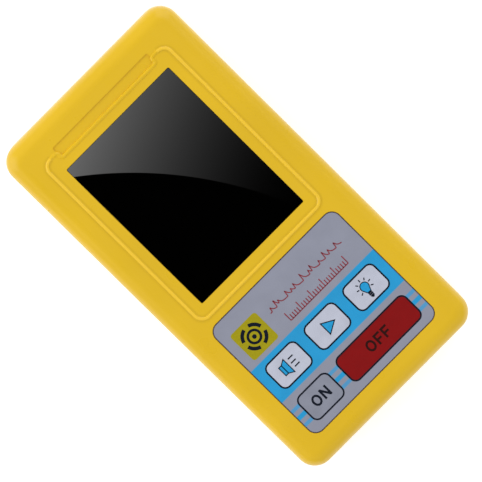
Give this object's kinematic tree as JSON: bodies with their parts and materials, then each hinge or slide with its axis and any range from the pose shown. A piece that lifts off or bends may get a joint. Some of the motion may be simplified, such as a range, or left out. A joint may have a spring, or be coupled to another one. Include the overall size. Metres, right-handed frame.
{
  "type": "hand-held geiger counter",
  "caption": "Hand-held radiation counter in a moulded two-part case with a glossy display, a five-key pad and a sliding battery door.",
  "frame": {"origin": "middle of the flat back that the counter rests on", "axes": "+Z out of the face, +Y towards the display end, +X to the right when the face is read"},
  "size_m": [0.07, 0.1356, 0.0248],
  "materials": {
    "case_plastic": "injection-moulded ABS with a fine satin texture",
    "window_acrylic": "black back-printed acrylic window, polished",
    "tape": "double-sided adhesive tape",
    "sheet_metal": "plated sheet steel",
    "display_glass": "liquid crystal cell",
    "diffuser": "milky light guide",
    "contact_metal": "nickel-plated spring steel",
    "overlay_film": "back-printed polyester film",
    "key_white": "printed light grey keycap",
    "key_grey": "printed grey keycap",
    "key_red": "printed dark red keycap",
    "black_plastic": "moulded black plastic",
    "switch_shell": "stamped switch cover",
    "board_laminate": "glass-fibre laminate with green solder mask",
    "ferrite": "ground ferrite",
    "capacitor_sleeve": "shrink sleeve over aluminium can",
    "tube_metal": "thin-walled steel tube",
    "brass_cap": "turned brass end cap",
    "cell_jacket": "printed sleeve over steel can",
    "screw_steel": "zinc-plated screw"
  },
  "bodies": {
    "case": {"front_shell": "case_plastic", "rear_shell": "case_plastic", "display_window": "window_acrylic", "window_tape": "tape", "lcd_frame": "sheet_metal", "lcd_glass": "display_glass", "backlight_panel": "diffuser", "lcd_pins": "contact_metal", "keypad_overlay": "overlay_film", "switch_bodies": "switch_shell", "main_board": "board_laminate", "microcontroller": "black_plastic", "crystal": "sheet_metal", "hv_transformer": "ferrite", "hv_capacitors": "capacitor_sleeve", "buzzer": "black_plastic", "counting_tube": "tube_metal", "tube_end_caps": "brass_cap", "tube_clips": "contact_metal", "battery_cells": "cell_jacket", "battery_contacts": "contact_metal", "battery_springs": "contact_metal", "case_screws": "screw_steel", "board_screws": "screw_steel"},
    "door": {"battery_door": "case_plastic"},
    "sound_key": {"key_sound": "key_white", "plunger_sound": "black_plastic"},
    "play_key": {"key_play": "key_white", "plunger_play": "black_plastic"},
    "light_key": {"key_light": "key_white", "plunger_light": "black_plastic"},
    "on_key": {"key_on": "key_grey", "plunger_on": "black_plastic"},
    "off_key": {"key_off": "key_red", "plunger_off": "black_plastic"}
  },
  "joints": [
    {"name": "door_slide", "type": "slide", "parent": "case", "child": "door", "axis": [0, -1, 0], "range_m": [0, 0.058]},
    {"name": "sound_key_press", "type": "slide", "parent": "case", "child": "sound_key", "axis": [0, 0, -1], "range_m": [0, 0.00025], "stiffness_N_per_m": 500},
    {"name": "play_key_press", "type": "slide", "parent": "case", "child": "play_key", "axis": [0, 0, -1], "range_m": [0, 0.00025], "stiffness_N_per_m": 500},
    {"name": "light_key_press", "type": "slide", "parent": "case", "child": "light_key", "axis": [0, 0, -1], "range_m": [0, 0.00025], "stiffness_N_per_m": 500},
    {"name": "on_key_press", "type": "slide", "parent": "case", "child": "on_key", "axis": [0, 0, -1], "range_m": [0, 0.00025], "stiffness_N_per_m": 500},
    {"name": "off_key_press", "type": "slide", "parent": "case", "child": "off_key", "axis": [0, 0, -1], "range_m": [0, 0.00025], "stiffness_N_per_m": 500}
  ]
}
